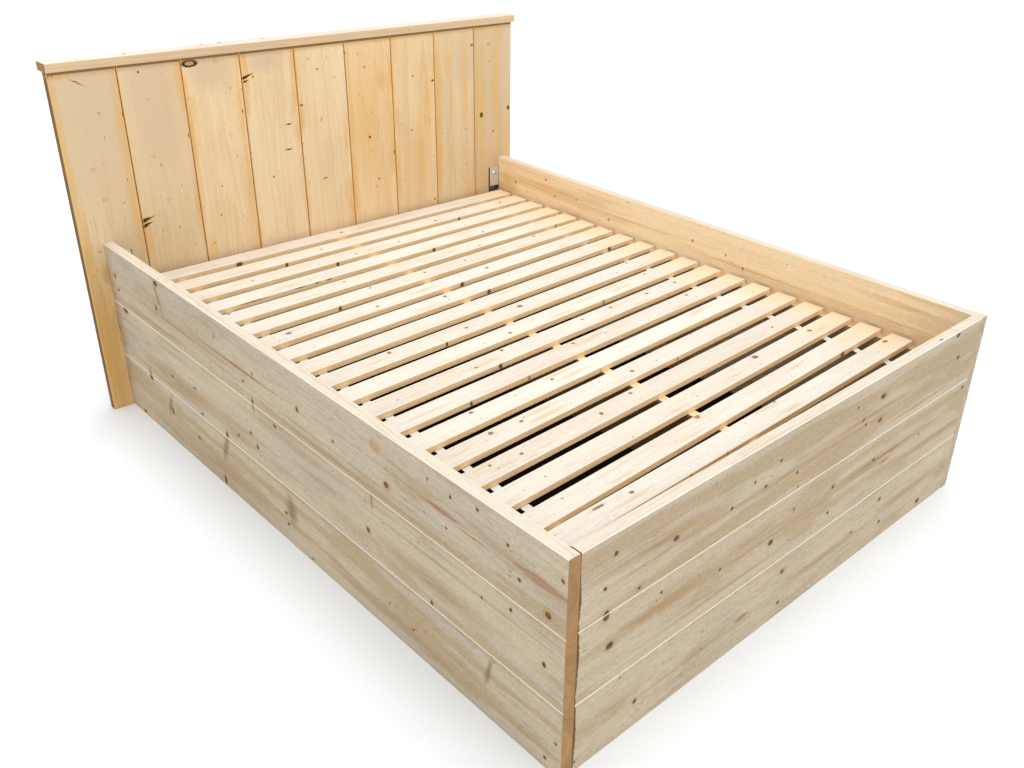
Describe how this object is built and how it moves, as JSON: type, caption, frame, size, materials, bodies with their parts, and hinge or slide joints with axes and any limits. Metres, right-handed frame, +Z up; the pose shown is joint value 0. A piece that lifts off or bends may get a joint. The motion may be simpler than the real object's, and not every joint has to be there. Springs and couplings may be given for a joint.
{
  "type": "bed",
  "caption": "Double bed of scaffold boards: a box of boards on edge, an upright board headboard with a cap, and a loose roll of slats on ledges and a centre rail.",
  "frame": {"origin": "on the floor, under the middle of the bed's overall box", "axes": "+X across the bed to its right side as seen from the foot, +Y from the foot to the headboard, +Z up"},
  "size_m": [1.801, 2.199, 1.146],
  "materials": {
    "headboard_wood": "planed spruce, warm and lightly oiled",
    "panel_wood": "planed spruce, pale and dry, with small knots",
    "slat_wood": "planed spruce, nearly white",
    "batten_wood": "sawn spruce",
    "strap_webbing": "woven tape",
    "plate_steel": "galvanised",
    "bolt_steel": "bright zinc",
    "screw_steel": "yellow zinc"
  },
  "bodies": {
    "frame": {"headboard_board_1": "headboard_wood", "headboard_board_2": "headboard_wood", "headboard_board_3": "headboard_wood", "headboard_board_4": "headboard_wood", "headboard_board_5": "headboard_wood", "headboard_board_6": "headboard_wood", "headboard_board_7": "headboard_wood", "headboard_board_8": "headboard_wood", "headboard_board_9": "headboard_wood", "headboard_cap": "headboard_wood", "headboard_batten_top": "batten_wood", "headboard_batten_middle": "batten_wood", "headboard_batten_bottom": "batten_wood", "left_board_bottom": "panel_wood", "left_board_middle": "panel_wood", "left_board_top": "panel_wood", "right_board_bottom": "panel_wood", "right_board_middle": "panel_wood", "right_board_top": "panel_wood", "foot_board_bottom": "panel_wood", "foot_board_middle": "panel_wood", "foot_board_top": "panel_wood", "post_foot_left": "batten_wood", "post_foot_right": "batten_wood", "post_head_left": "batten_wood", "post_head_right": "batten_wood", "left_batten": "batten_wood", "right_batten": "batten_wood", "left_ledge": "batten_wood", "right_ledge": "batten_wood", "centre_rail": "batten_wood", "rail_cradle_foot": "batten_wood", "rail_cradle_head": "batten_wood", "steel_plates": "plate_steel", "plate_bolts": "bolt_steel", "plate_nuts": "bolt_steel", "headboard_screws": "screw_steel", "frame_screws": "screw_steel"},
    "slat_roll": {"slat_01": "slat_wood", "slat_02": "slat_wood", "slat_03": "slat_wood", "slat_04": "slat_wood", "slat_05": "slat_wood", "slat_06": "slat_wood", "slat_07": "slat_wood", "slat_08": "slat_wood", "slat_09": "slat_wood", "slat_10": "slat_wood", "slat_11": "slat_wood", "slat_12": "slat_wood", "slat_13": "slat_wood", "slat_14": "slat_wood", "slat_15": "slat_wood", "slat_16": "slat_wood", "slat_17": "slat_wood", "slat_18": "slat_wood", "slat_19": "slat_wood", "slat_20": "slat_wood", "strap_left": "strap_webbing", "strap_right": "strap_webbing"}
  },
  "joints": [
    {"name": "slat_roll_lift", "type": "slide", "parent": "frame", "child": "slat_roll", "axis": [0, 0, 1], "range_m": [0, 0.3]}
  ]
}
